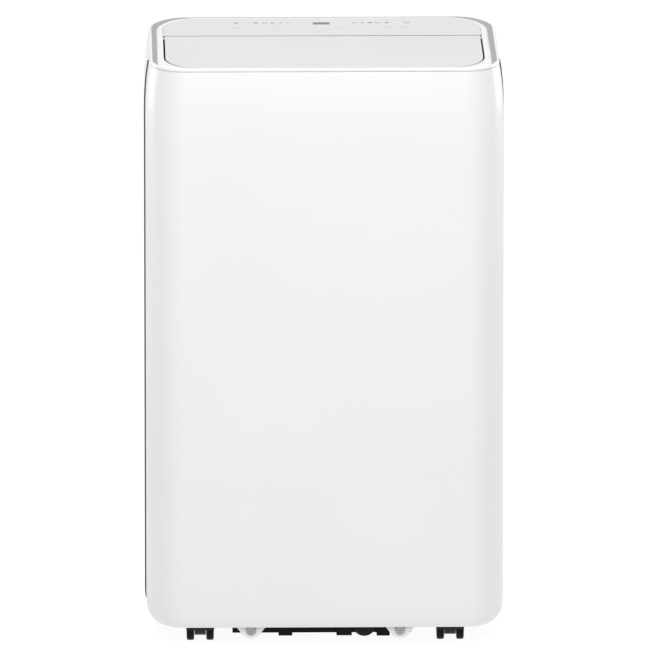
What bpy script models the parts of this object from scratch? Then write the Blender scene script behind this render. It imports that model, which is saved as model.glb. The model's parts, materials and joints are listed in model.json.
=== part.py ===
"""Portable air conditioner: a tall white cabinet on four twin-wheel casters.

Metres, +Z up. The origin is on the floor under the middle of the cabinet, the front faces -Y
and +X is to the right of someone who looks at the front.
"""

import math

import bmesh
import bpy
from mathutils import Matrix, Vector

# Driving dimensions of the cabinet
WIDTH = 0.467
DEPTH = 0.397
HEIGHT = 0.765
SKIRT_Z = 0.024
WALL = 0.0025
GAP = 0.0004

# Seam between the front panel and the rear cabinet, and the seam under the top cover
SEAM_Y = -0.060
SEAM = 0.0008
SHELL_TOP = 0.7604
SHELL_HEIGHTS = (0.024, 0.0265, 0.031, 0.038, 0.050, 0.645, 0.680, 0.703, 0.722, 0.738, 0.750, SHELL_TOP)

# Plan corners of the cabinet, each an ellipse (along x, along y), and points in each corner
FRONT_CORNER = (0.050, 0.075)
REAR_CORNER = (0.058, 0.095)
CORNER_STEPS = 6

# Top cover: rim, sloped groove, and the opening for the louver flap and the control panel
RIM_DROP = 0.0025
FLOOR_Z = 0.7614
OPEN_HALF_WIDTH = 0.2085
OPEN_FRONT = -0.1655
OPEN_REAR = 0.1805
OPEN_FRONT_CORNER = (0.046, 0.075)
OPEN_REAR_CORNER = (0.045, 0.075)

# Louver flap: a plate with a round barrel along its rear edge, on the hinge axis
FLAP_HALF_WIDTH = 0.2048
FLAP_FRONT = -0.1645
FLAP_THICK = 0.0035
BARREL = 0.0035
HINGE_Y = 0.0550
HINGE_Z = FLOOR_Z - BARREL
CONTROL_FRONT = HINGE_Y + BARREL + 0.0012

# Fixing tabs of the front panel, each with a screw into the base pan
LOBE_X = 0.097
LOBE_Y = (-0.1830, -0.1795)
SCREW_Z = 0.0194

# Casters: stem places, wheels and trail
CASTER_X = 0.163
CASTER_Y = 0.140
WHEEL_RADIUS = 0.016
WHEEL_WIDTH = 0.0098
WHEEL_GAP = 0.0158
TRAIL = 0.012
STEM_RADIUS = 0.0055

# Base pan
PAN_Z = 0.0410
PAN_THICK = 0.0040
TUB_X = (-0.121, 0.112)
TUB_Y = (-0.165, 0.150)
TUB_Z = 0.012

# Rear face: air openings, exhaust outlet and handles
REAR_Y = DEPTH / 2
INTAKE_HALF_WIDTH = 0.150
UPPER_INTAKE_Z = (0.510, 0.690)
LOWER_INTAKE_Z = (0.085, 0.275)
FILTER_Y = (0.1860, 0.1914)
EXHAUST_Z = 0.392
EXHAUST_RADIUS = 0.075
HANDLE_Y = 0.035
HANDLE_Z = 0.610
HANDLE_LENGTH = 0.120
HANDLE_HEIGHT = 0.036
GLAND_X, GLAND_Z = -0.150, 0.335
DRAIN_X, DRAIN_Z = 0.140, 0.330
HOOK_X = -0.150
HOOK_Z = (0.390, 0.450)

# Insides
FAN_Y = (0.030, 0.092)
UPPER_FAN_Z = 0.592
LOWER_FAN_Z = 0.180
FAN_RADIUS = 0.078
COIL_Y = (0.118, 0.150)
DECK_Z = 0.484
COMPRESSOR = (-0.055, -0.085)

PARTS = bpy.data.collections.new("portable_air_conditioner")
CUTTERS = bpy.data.collections.new("cutters")

COLORS = {
    "white_plastic": ((0.90, 0.90, 0.90), 0.32, 0.0),
    "pale_plastic": ((0.80, 0.80, 0.80), 0.38, 0.0),
    "black_plastic": ((0.016, 0.016, 0.017), 0.45, 0.0),
    "inner_plastic": ((0.55, 0.56, 0.57), 0.50, 0.0),
    "display_plastic": ((0.05, 0.05, 0.055), 0.15, 0.0),
    "filter_plastic": ((0.20, 0.22, 0.24), 0.55, 0.0),
    "circuit_board": ((0.03, 0.20, 0.08), 0.45, 0.0),
    "aluminium_fin": ((0.78, 0.79, 0.80), 0.35, 1.0),
    "copper": ((0.80, 0.38, 0.20), 0.28, 1.0),
    "black_paint": ((0.02, 0.02, 0.02), 0.35, 0.0),
    "steel": ((0.62, 0.62, 0.63), 0.30, 1.0),
    "rubber": ((0.03, 0.03, 0.03), 0.80, 0.0),
}


def clear_scene():
    for obj in list(bpy.data.objects):
        bpy.data.objects.remove(obj)
    for collection in (PARTS, CUTTERS):
        bpy.context.scene.collection.children.link(collection)
    CUTTERS.hide_render = True


def material(name):
    """The Principled material of this name, made the first time it is asked for."""
    found = bpy.data.materials.get(name)
    if found:
        return found
    color, roughness, metallic = COLORS[name]
    made = bpy.data.materials.new(name)
    made.use_nodes = True
    shader = made.node_tree.nodes["Principled BSDF"]
    shader.inputs["Base Color"].default_value = (*color, 1.0)
    shader.inputs["Roughness"].default_value = roughness
    shader.inputs["Metallic"].default_value = metallic
    return made


def add(name, bm, slot, parent=None):
    """Makes the object of this name from a bmesh. Without a slot it is a hidden cutter."""
    mesh = bpy.data.meshes.new(name)
    bm.to_mesh(mesh)
    bm.free()
    obj = bpy.data.objects.new(name, mesh)
    if slot:
        mesh.materials.append(material(slot))
        mesh.shade_smooth()
        mesh.set_sharp_from_angle(angle=math.radians(35))
        PARTS.objects.link(obj)
    else:
        obj.hide_render = True
        obj.display_type = "WIRE"
        CUTTERS.objects.link(obj)
    if parent:
        obj.parent = parent
    return obj


def pivot(name, place):
    """An empty on a joint's axis, which carries the moving pieces."""
    obj = bpy.data.objects.new(name, None)
    obj.location = place
    obj.empty_display_size = 0.03
    PARTS.objects.link(obj)
    return obj


def box_mesh(low, high, bm=None):
    bm = bm or bmesh.new()
    low, high = Vector(low), Vector(high)
    place = Matrix.Translation((low + high) / 2) @ Matrix.Diagonal((*(high - low), 1.0))
    bmesh.ops.create_cube(bm, size=1.0, matrix=place)
    return bm


def turn_to(axis):
    """The rotation that takes +Z to this axis, a letter."""
    if axis == "X":
        return Matrix.Rotation(math.pi / 2, 4, "Y")
    if axis == "Y":
        return Matrix.Rotation(-math.pi / 2, 4, "X")
    return Matrix.Identity(4)


def rod_mesh(center, radius, length, axis="Z", sides=20, top_radius=None, bm=None):
    """A cylinder or, with a top radius, a cone, centred on a point."""
    bm = bm or bmesh.new()
    bmesh.ops.create_cone(
        bm,
        cap_ends=True,
        segments=sides,
        radius1=radius,
        radius2=radius if top_radius is None else top_radius,
        depth=length,
        matrix=Matrix.Translation(center) @ turn_to(axis),
    )
    return bm


def box(name, low, high, slot, parent=None):
    return add(name, box_mesh(low, high), slot, parent)


def rod(name, center, radius, length, slot, axis="Z", sides=20, top_radius=None, parent=None):
    return add(name, rod_mesh(center, radius, length, axis, sides, top_radius), slot, parent)


def combine(obj, tool, operation):
    modifier = obj.modifiers.new(tool.name, "BOOLEAN")
    modifier.operation = operation
    modifier.solver = "EXACT"
    modifier.object = tool


def cut(obj, bm, label):
    """Cuts a mesh away from the object. The mesh holds separate solids or one."""
    combine(obj, add(f"{obj.name}_{label}", bm, None), "DIFFERENCE")


def join(obj, bm, label):
    combine(obj, add(f"{obj.name}_{label}", bm, None), "UNION")


def bevel(obj, width, segments=1):
    modifier = obj.modifiers.new("edges", "BEVEL")
    modifier.width = width
    modifier.segments = segments
    modifier.limit_method = "ANGLE"
    modifier.angle_limit = math.radians(40)


def loft(rings, wrap_ring, wrap_rows):
    """Joins rings of equal length with quads, and closes the ends that don't wrap with a face."""
    bm = bmesh.new()
    rows = [[bm.verts.new(point) for point in ring] for ring in rings]
    count = len(rings[0])
    last_row = len(rows) if wrap_rows else len(rows) - 1
    for k in range(last_row):
        lower, upper = rows[k], rows[(k + 1) % len(rows)]
        for i in range(count if wrap_ring else count - 1):
            j = (i + 1) % count
            bm.faces.new((lower[i], lower[j], upper[j], upper[i]))
    return bm


def turned(name, center, axis, profile, slot, sides=28, parent=None, first=0.0):
    """A turned solid: the profile's (radius, along) points, closed at the axis or as a ring.

    The first spoke stands at this share of a step, so 0.5 puts a flat facet on each axis.
    """
    turn = Matrix.Translation(center) @ turn_to(axis)
    rings = []
    for k in range(sides):
        angle = 2 * math.pi * (k + first) / sides
        spoke = Vector((math.cos(angle), math.sin(angle), 0.0))
        rings.append([turn @ (spoke * r + Vector((0.0, 0.0, along))) for r, along in profile])
    bm = loft(rings, True, True)
    bmesh.ops.remove_doubles(bm, verts=bm.verts, dist=1e-6)
    bmesh.ops.recalc_face_normals(bm, faces=bm.faces)
    return add(name, bm, slot, parent)


def tube(name, points, radius, slot, steps=3, bevel_resolution=1):
    """A round tube of this radius on a smooth curve through the points."""
    curve = bpy.data.curves.new(name, "CURVE")
    curve.dimensions = "3D"
    curve.bevel_depth = radius
    curve.bevel_resolution = bevel_resolution
    curve.use_fill_caps = True
    smooth = catmull_rom([Vector(p) for p in points], steps)
    spline = curve.splines.new("POLY")
    spline.points.add(len(smooth) - 1)
    for target, point in zip(spline.points, smooth):
        target.co = (*point, 1.0)
    curve.materials.append(material(slot))
    obj = bpy.data.objects.new(name, curve)
    PARTS.objects.link(obj)
    return obj


def catmull_rom(points, steps):
    """Points read from a smooth curve that goes through every given point."""
    ends = [points[0] * 2 - points[1]] + points + [points[-1] * 2 - points[-2]]
    smooth = []
    for k in range(1, len(ends) - 2):
        a, b, c, d = ends[k - 1 : k + 3]
        for i in range(steps):
            t = i / steps
            smooth.append(
                0.5 * (2 * b + (c - a) * t + (2 * a - 5 * b + 4 * c - d) * t**2
                       + (3 * b - a - 3 * c + d) * t**3)
            )
    return smooth + [points[-1]]


def arc(cx, cy, rx, ry, start, sweep=90, steps=CORNER_STEPS):
    """Points along a quarter of an ellipse, from a start angle in degrees."""
    points = []
    for k in range(steps + 1):
        angle = math.radians(start + sweep * k / steps)
        points.append((cx + rx * math.cos(angle), cy + ry * math.sin(angle)))
    return points


def front_half(half_width, front, corner, seam_y, bow=0.0):
    """The outline from the left seam round the front to the right seam, seen from above."""
    rx, ry = corner
    left = arc(-half_width + rx, front + ry, rx, ry, 180)
    right = arc(half_width - rx, front + ry, rx, ry, 270)
    middle = [(0.0, front - bow)]
    return [(-half_width, seam_y)] + left + middle + right + [(half_width, seam_y)]


def rear_half(half_width, rear, corner, seam_y):
    """The outline from the right seam round the rear to the left seam, seen from above."""
    rx, ry = corner
    right = arc(half_width - rx, rear - ry, rx, ry, 0)
    left = arc(-half_width + rx, rear - ry, rx, ry, 90)
    return [(half_width, seam_y)] + right + [(0.0, rear)] + left + [(-half_width, seam_y)]


def at_height(points, z):
    return [(x, y, z) for x, y in points]


def lean(z, reach, power, depth):
    """How far the wall leans in at this height, near the top of the cabinet."""
    down = min(max(HEIGHT - z, 0.0) / reach, 1.0)
    return depth * (1.0 - down) ** power


def insets(z):
    """How far the sides, the front and the rear stand in from the cabinet's box at a height."""
    foot = 0.010 * (1.0 - min(max(z - SKIRT_Z, 0.0) / 0.026, 1.0)) ** 3
    side = lean(z, 0.085, 2.5, 0.0075) + foot
    front = lean(z, 0.120, 2.0, 0.0130) + foot
    rear = lean(z, 0.085, 2.5, 0.0080) + foot
    return side, front, rear


def shell_front(z, extra=0.0):
    side, front, _ = insets(z)
    corner = (FRONT_CORNER[0] - side - extra, FRONT_CORNER[1] - front - extra)
    return front_half(WIDTH / 2 - side - extra, -DEPTH / 2 + front + extra, corner, SEAM_Y)


def shell_rear(z, extra=0.0):
    side, _, rear = insets(z)
    corner = (REAR_CORNER[0] - side - extra, REAR_CORNER[1] - rear - extra)
    return rear_half(WIDTH / 2 - side - extra, DEPTH / 2 - rear - extra, corner, SEAM_Y + SEAM)


def shell_outline(z, extra=0.0):
    return shell_front(z, extra) + shell_rear(z, extra)


def opening_outline(margin=0.0):
    """The outline of the top cover's opening, made smaller by a margin."""
    rx, ry = OPEN_FRONT_CORNER
    front = front_half(
        OPEN_HALF_WIDTH - margin, OPEN_FRONT + margin, (rx - margin, ry - margin), SEAM_Y
    )
    rx, ry = OPEN_REAR_CORNER
    rear = rear_half(
        OPEN_HALF_WIDTH - margin, OPEN_REAR - margin, (rx - margin, ry - margin), SEAM_Y + SEAM
    )
    return front + rear


def prism(outline, low, high):
    """A closed solid of an outline between two heights."""
    bm = loft([at_height(outline, low), at_height(outline, high)], True, False)
    for z, flip in ((low, True), (high, False)):
        ring = [v for v in bm.verts if abs(v.co.z - z) < 1e-7]
        bm.faces.new(ring[::-1] if flip else ring)
    bmesh.ops.recalc_face_normals(bm, faces=bm.faces)
    return bm


def wall_shell(name, half, heights, slot):
    """An open half of the cabinet's wall, thickened inward by Solidify."""
    rings = [at_height(half(z), z) for z in heights]
    obj = add(name, loft(rings, False, False), slot)
    solid = obj.modifiers.new("wall", "SOLIDIFY")
    solid.thickness = WALL
    solid.offset = -1.0
    solid.use_even_offset = True
    return obj


def lobe_outline(center_x):
    """A fixing tab in the XZ plane: 45 degree shoulders and a round bottom."""
    radius, shoulder, center_z = 0.0155, 0.024, 0.0240
    points = [(center_x + shoulder, 0.0300)]
    points += arc(center_x, center_z, radius, radius, -25, -130, 9)
    return points + [(center_x - shoulder, 0.0300)]


def front_panel():
    panel = wall_shell("front_panel", shell_front, SHELL_HEIGHTS, "white_plastic")
    for side, label in ((-1, "left"), (1, "right")):
        x = side * LOBE_X
        outline = lobe_outline(x)
        rings = [[(px, y, pz) for px, pz in outline] for y in LOBE_Y]
        bm = loft(rings, True, False)
        bm.verts.ensure_lookup_table()
        count = len(outline)
        bm.faces.new([bm.verts[k] for k in range(count)])
        bm.faces.new([bm.verts[k] for k in range(2 * count - 1, count - 1, -1)])
        bmesh.ops.recalc_face_normals(bm, faces=bm.faces)
        join(panel, bm, f"lobe_{label}")
        join(panel, box_mesh((x - 0.020, -0.1965, 0.0285), (x + 0.020, LOBE_Y[1], 0.0325)), f"web_{label}")
        hole = rod_mesh((x, LOBE_Y[1], SCREW_Z), 0.0027, 0.012, "Y", 12)
        cut(panel, hole, f"screw_hole_{label}")
        screw(x, f"front_screw_{label}")


def screw(x, name):
    """A pan-head screw through the tab into the base pan, with a cross recess."""
    head_front = LOBE_Y[0] - GAP - 0.0022
    obj = rod(name, (x, head_front + 0.0011, SCREW_Z), 0.0062, 0.0022, "steel", "Y", 20)
    join(obj, rod_mesh((x, head_front + 0.0090, SCREW_Z), 0.0022, 0.0160, "Y", 12), "shank")
    for k, (dx, dz) in enumerate(((0.0036, 0.0008), (0.0008, 0.0036))):
        low = (x - dx, head_front - 0.001, SCREW_Z - dz)
        high = (x + dx, head_front + 0.0012, SCREW_Z + dz)
        cut(obj, box_mesh(low, high), f"cross_{k}")


def rear_cabinet():
    cabinet = wall_shell("rear_cabinet", shell_rear, SHELL_HEIGHTS, "white_plastic")
    for low_z, high_z, label in ((*UPPER_INTAKE_Z, "upper"), (*LOWER_INTAKE_Z, "lower")):
        low, high = (-INTAKE_HALF_WIDTH, 0.190, low_z), (INTAKE_HALF_WIDTH, 0.205, high_z)
        cut(cabinet, box_mesh(low, high), f"{label}_intake")
        low = (0.150, FILTER_Y[0] - 0.0010, low_z - 0.002)
        high = (0.225, FILTER_Y[1] + 0.0010, high_z + 0.002)
        cut(cabinet, box_mesh(low, high), f"{label}_filter_slot")
    cut(cabinet, rod_mesh((0.0, 0.197, EXHAUST_Z), EXHAUST_RADIUS, 0.020, "Y", 36), "exhaust")
    for side, label in ((-1, "left"), (1, "right")):
        half = Vector((0.010, HANDLE_LENGTH / 2, HANDLE_HEIGHT / 2))
        center = Vector((side * WIDTH / 2, HANDLE_Y, HANDLE_Z))
        cut(cabinet, box_mesh(center - half, center + half), f"{label}_handle")
    for x, z, radius, label in (
        (GLAND_X, GLAND_Z, 0.0095, "gland"),
        (DRAIN_X, DRAIN_Z, 0.0105, "drain"),
    ):
        cut(cabinet, rod_mesh((x, 0.197, z), radius, 0.012, "Y", 20), label)
    for z, label in ((HOOK_Z[0], "lower_hook"), (HOOK_Z[1], "upper_hook")):
        cut(cabinet, box_mesh((HOOK_X - 0.012, 0.190, z - 0.009), (HOOK_X + 0.012, 0.205, z + 0.009)), label)


def rim_z(y, z):
    """Lowers a rim height towards the rear, where the rim blends into the control panel."""
    t = min(max((y - 0.060) / 0.120, 0.0), 1.0)
    return z - RIM_DROP * t * t * (3.0 - 2.0 * t)


def top_cover():
    top = 0.7612
    rim = (
        (0.0002, 0.7608), (0.0004, 0.7632), (0.0018, 0.7648), (0.0026, HEIGHT), (0.0042, HEIGHT),
    )
    rings = [at_height(shell_outline(top, 0.0038), 0.7500), at_height(shell_outline(top, 0.0038), 0.7608)]
    for inset, z in rim:
        low = min(z, 0.7608)
        rings.append([(x, y, max(rim_z(y, z), low)) for x, y in shell_outline(top, inset)])
    floor_edge = []
    for (x, y), (ox, oy) in zip(shell_outline(top, 0.0128), opening_outline(-0.0018)):
        share = min(max((y - 0.100) / 0.080, 0.0), 1.0)
        floor_edge.append((x + (ox - x) * share, y + (oy - y) * share, FLOOR_Z - 0.0004))
    rings.append(floor_edge)
    rings.append(at_height(opening_outline(), FLOOR_Z))
    rings.append(at_height(opening_outline(), FLOOR_Z - 0.0028))
    rings.append(at_height(shell_outline(top, 0.0062), FLOOR_Z - 0.0028))
    rings.append(at_height(shell_outline(top, 0.0062), 0.7500))
    bm = loft(rings, True, True)
    bmesh.ops.recalc_face_normals(bm, faces=bm.faces)
    cover = add("top_cover", bm, "white_plastic")
    for side, label in ((-1, "left"), (1, "right")):
        near, far = sorted((side * 0.2092, side * 0.2140))
        low = (near, HINGE_Y - 0.0060, 0.7510)
        join(cover, box_mesh(low, (far, HINGE_Y + 0.0060, 0.7600)), f"bearing_{label}")
        bore = rod_mesh((side * 0.2105, HINGE_Y, HINGE_Z), 0.0024, 0.0052, "X", 12)
        cut(cover, bore, f"bearing_bore_{label}")


def control_panel():
    outline = [(x, y) for x, y in opening_outline(GAP) if y > CONTROL_FRONT]
    half = outline[0][0] if outline[0][0] > 0 else OPEN_HALF_WIDTH - GAP
    points = [(half, CONTROL_FRONT)] + outline + [(-half, CONTROL_FRONT)]
    panel = add("control_panel", prism(points, FLOOR_Z - 0.0026, FLOOR_Z), "pale_plastic")
    low, high = (-0.0112, 0.1366, FLOOR_Z - 0.0012), (0.0112, 0.1524, FLOOR_Z + 0.001)
    cut(panel, box_mesh(low, high), "display_recess")
    box("display_window", (-0.0108, 0.1370, FLOOR_Z - 0.0009), (0.0108, 0.1520, FLOOR_Z - 0.0001), "display_plastic")
    box("control_board", (-0.095, 0.072, 0.7500), (0.095, 0.165, 0.7516), "circuit_board")


def louver_flap():
    hinge = pivot("flap_hinge", (0.0, HINGE_Y, HINGE_Z))
    rx, ry = OPEN_FRONT_CORNER
    front = front_half(FLAP_HALF_WIDTH, FLAP_FRONT, (rx - 0.001, ry - 0.001), HINGE_Y)
    place = Matrix.Translation((0.0, -HINGE_Y, -HINGE_Z))
    bm = prism(front, FLOOR_Z - FLAP_THICK, FLOOR_Z)
    bmesh.ops.transform(bm, matrix=place, verts=bm.verts)
    flap = add("louver_flap", bm, "pale_plastic", hinge)
    for name, radius, half in (("barrel", BARREL, FLAP_HALF_WIDTH), ("pins", 0.0020, 0.2122)):
        tool = add(f"flap_{name}", rod_mesh((0.0, 0.0, 0.0), radius, 2 * half, "X", 16), None, hinge)
        combine(flap, tool, "UNION")


def slotted(name, low, high, slot, count, step_axis, flange=None):
    """A plate, with a flange or none, cut by straight slots along X that repeat along an axis."""
    margin, open_share = 0.008, 0.62
    grille = box(name, low, high, slot)
    if flange:
        join(grille, flange, "flange")
    start = low[step_axis] + margin
    pitch = (high[step_axis] - low[step_axis] - 2 * margin) / count
    bm = bmesh.new()
    for k in range(count):
        slot_low, slot_high = list(low), list(high)
        for axis in range(3):
            slot_low[axis] -= 0.02
            slot_high[axis] += 0.02
        slot_low[0], slot_high[0] = low[0] + margin, high[0] - margin
        middle = start + pitch * (k + 0.5)
        slot_low[step_axis] = middle - pitch * open_share / 2
        slot_high[step_axis] = middle + pitch * open_share / 2
        box_mesh(slot_low, slot_high, bm)
    cut(grille, bm, "slots")
    return grille


def outlet():
    frame = box("outlet_frame", (-0.2050, -0.1560, 0.7424), (0.2050, 0.0500, 0.7460), "inner_plastic")
    cut(frame, box_mesh((-0.186, -0.144, 0.730), (0.186, 0.044, 0.760)), "opening")
    slotted("outlet_grille", (-0.192, -0.150, 0.7464), (0.192, 0.048, 0.7490), "black_plastic", 14, 1)
    lower = ((-0.094, 0.018), (0.032, 0.018), (0.032, 0.112), (-0.094, 0.112))
    upper = ((-0.190, -0.148), (0.190, -0.148), (0.190, 0.047), (-0.190, 0.047))
    wall = 0.002

    def inner(points):
        cx = sum(p[0] for p in points) / 4
        cy = sum(p[1] for p in points) / 4
        return [(x + math.copysign(wall, cx - x), y + math.copysign(wall, cy - y)) for x, y in points]

    rings = [
        at_height(lower, 0.7004), at_height(upper, 0.7420),
        at_height(inner(upper), 0.7420), at_height(inner(lower), 0.7004),
    ]
    bm = loft(rings, True, True)
    bmesh.ops.recalc_face_normals(bm, faces=bm.faces)
    add("outlet_duct", bm, "inner_plastic")
    box("louver_motor", (0.150, 0.066, 0.7255), (0.185, 0.090, 0.7495), "inner_plastic")


def base_pan():
    outline = shell_outline(0.060, WALL + 0.0012)
    pan = add("base_pan", prism(outline, PAN_Z, PAN_Z + PAN_THICK), "black_plastic")
    top = PAN_Z + PAN_THICK / 2
    join(pan, box_mesh((TUB_X[0], TUB_Y[0], TUB_Z), (TUB_X[1], TUB_Y[1], top)), "tub")
    for k, (x, half) in enumerate(((-0.052, 0.009), (0.0245, 0.010))):
        join(pan, box_mesh((x - half, TUB_Y[0] - 0.003, 0.0086), (x + half, -0.120, 0.020)), f"foot_{k}")
    join(pan, box_mesh((0.0670, TUB_Y[0] - 0.002, 0.0078), (0.0840, -0.130, 0.020)), "drain_boss")
    for side, label in ((-1, "left"), (1, "right")):
        x = side * LOBE_X
        low = (x - 0.010, LOBE_Y[1] + GAP, 0.0125)
        join(pan, box_mesh(low, (x + 0.010, TUB_Y[0] + 0.001, 0.030)), f"screw_boss_{label}")
        cut(pan, rod_mesh((x, -0.180, SCREW_Z), 0.0026, 0.024, "Y", 12), f"screw_bore_{label}")
        for y in (-CASTER_Y, CASTER_Y):
            place = f"{label}_{'front' if y < 0 else 'rear'}"
            x_stem = side * CASTER_X
            join(pan, rod_mesh((x_stem, y, 0.0525), 0.011, 0.019, "Z", 20), f"boss_{place}")
            cut(pan, rod_mesh((x_stem, y, 0.050), STEM_RADIUS + 0.0006, 0.040, "Z", 16), f"bore_{place}")
    hollow_low = (TUB_X[0] + 0.003, TUB_Y[0] + 0.003, TUB_Z + 0.0035)
    cut(pan, box_mesh(hollow_low, (TUB_X[1] - 0.003, TUB_Y[1] - 0.003, 0.060)), "hollow")
    cap_y = TUB_Y[0] - GAP - 0.0025
    rod("bottom_drain_cap", (0.0507, cap_y, 0.0232), 0.0150, 0.0050, "rubber", "Y", 28)


def caster(label, x, y, lead):
    """A swivel caster with two wheels. The lead is the side of the stem that the wheels are on."""
    swivel = pivot(f"{label}_swivel", (x, y, 0.0))
    axle_y = lead * TRAIL
    name = f"caster_fork_{label}"
    half = WHEEL_GAP / 2 - 0.0006
    fork = rod(name, (0.0, axle_y, WHEEL_RADIUS), 0.0095, 2 * half, "black_plastic", "X", 16, parent=swivel)
    near, far = sorted((axle_y, -lead * 0.008))
    pieces = {
        "neck": box_mesh((-half + 0.0006, near - 0.0043, WHEEL_RADIUS), (half - 0.0006, far + 0.0023, 0.0372)),
        "plate": rod_mesh((0.0, 0.0, 0.0375), 0.0170, 0.0040, "Z", 20),
        "stem": rod_mesh((0.0, 0.0, 0.0490), STEM_RADIUS, 0.0220, "Z", 16),
        "axle": rod_mesh((0.0, axle_y, WHEEL_RADIUS), 0.0030, WHEEL_GAP + 2 * WHEEL_WIDTH + 0.001, "X", 12),
    }
    for piece, bm in pieces.items():
        combine(fork, add(f"{name}_{piece}", bm, None, swivel), "UNION")
    hub = pivot(f"{label}_axle", (0.0, axle_y, WHEEL_RADIUS))
    hub.parent = swivel
    sides, width = 16, WHEEL_WIDTH
    radius = WHEEL_RADIUS / math.cos(math.pi / sides)
    profile = (
        (0.0036, -width / 2), (radius - 0.0016, -width / 2), (radius, -width / 2 + 0.0020),
        (radius, width / 2 - 0.0020), (radius - 0.0016, width / 2), (0.0036, width / 2),
    )
    for side, end in ((-1, "left"), (1, "right")):
        center = (side * (WHEEL_GAP + WHEEL_WIDTH) / 2, 0.0, 0.0)
        turned(f"caster_wheel_{label}_{end}", center, "X", profile, "black_plastic", sides, hub, 0.5)


def casters():
    for y, row in ((-CASTER_Y, "front"), (CASTER_Y, "rear")):
        for side, label in ((-1, "left"), (1, "right")):
            caster(f"{row}_{label}", side * CASTER_X, y, -1)


def intakes():
    """The two air intakes on the rear: a grille in each opening and a filter that slides out sideways."""
    reach = INTAKE_HALF_WIDTH - GAP
    for (low_z, high_z), label, slots in ((UPPER_INTAKE_Z, "upper", 11), (LOWER_INTAKE_Z, "lower", 12)):
        low, high = (-reach, 0.1940, low_z + GAP), (reach, 0.1980, high_z - GAP)
        flange = box_mesh((-reach - 0.004, 0.1928, low_z - 0.004), (reach + 0.004, 0.1954, high_z + 0.004))
        grille = slotted(f"{label}_intake_grille", low, high, "white_plastic", slots, 2, flange)
        mullions = bmesh.new()
        for x in (-0.050, 0.050):
            box_mesh((x - 0.002, 0.1935, low_z + 0.0075), (x + 0.002, 0.1975, high_z - 0.0075), mullions)
        join(grille, mullions, "mullions")
        low, high = (-0.152, FILTER_Y[0], low_z + 0.002), (0.200, FILTER_Y[1], high_z - 0.002)
        name = f"{label}_filter"
        air_filter = add(name, box_mesh(low, high), "filter_plastic")
        pocket = bmesh.new()
        rows, columns = 2, 4
        cell_x, cell_z = 0.292 / columns, (high_z - low_z - 0.016) / rows
        for i in range(columns):
            for j in range(rows):
                corner = Vector((-0.146 + i * cell_x, FILTER_Y[0] - 0.002, low_z + 0.008 + j * cell_z))
                size = Vector((cell_x - 0.003, 0.0056, cell_z - 0.003))
                box_mesh(corner, corner + size, pocket)
        cut(air_filter, pocket, "cells")


def handles():
    for side, label in ((-1, "left"), (1, "right")):
        reach_y, reach_z = HANDLE_LENGTH / 2 - GAP, HANDLE_HEIGHT / 2 - GAP
        near, far = sorted((side * 0.2010, side * (WIDTH / 2 - 0.0002)))
        low = (near, HANDLE_Y - reach_y, HANDLE_Z - reach_z)
        cup = box(f"handle_{label}", low, (far, HANDLE_Y + reach_y, HANDLE_Z + reach_z), "white_plastic")
        near, far = sorted((side * 0.2035, side * 0.2400))
        wall = 0.0022
        low = (near, HANDLE_Y - reach_y + wall, HANDLE_Z - reach_z + wall)
        cut(cup, box_mesh(low, (far, HANDLE_Y + reach_y - wall, HANDLE_Z + reach_z - wall)), "hand_space")


def exhaust():
    outer, inner = EXHAUST_RADIUS - GAP, 0.0665
    profile = (
        (inner, 0.1985), (inner, 0.1856), (0.0800, 0.1856), (0.0800, 0.1950),
        (outer, 0.1950), (outer, 0.1972), (outer - 0.0013, 0.1985),
    )
    center = (0.0, 0.0, EXHAUST_Z)
    turned("exhaust_collar", center, "Y", profile, "white_plastic", 32)
    guard = rod("exhaust_grille", (0.0, 0.1895, EXHAUST_Z), inner - GAP, 0.003, "white_plastic", "Y", 36)
    slots, reach = 9, 0.0600
    pitch = 2 * reach / slots
    bm = bmesh.new()
    for k in range(slots):
        x = -reach + pitch * (k + 0.5)
        half_height = math.sqrt(reach**2 - (abs(x) + pitch * 0.28) ** 2)
        for low_z, high_z in ((-half_height, -0.0020), (0.0020, half_height)):
            low = (x - pitch * 0.36, 0.180, EXHAUST_Z + low_z)
            box_mesh(low, (x + pitch * 0.36, 0.200, EXHAUST_Z + high_z), bm)
    cut(guard, bm, "slots")
    low, high = Vector((-0.095, 0.020, 0.3004)), Vector((0.095, 0.1850, 0.4700))
    duct = box("exhaust_duct", low, high, "inner_plastic")
    wall = Vector((0.002, 0.002, 0.002))
    cut(duct, box_mesh(low + wall, high - wall), "hollow")
    cut(duct, box_mesh((-0.090, 0.024, 0.290), (0.028, 0.106, 0.310)), "inlet")
    cut(duct, rod_mesh((0.0, 0.185, EXHAUST_Z), 0.064, 0.020, "Y", 32), "outlet")


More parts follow.
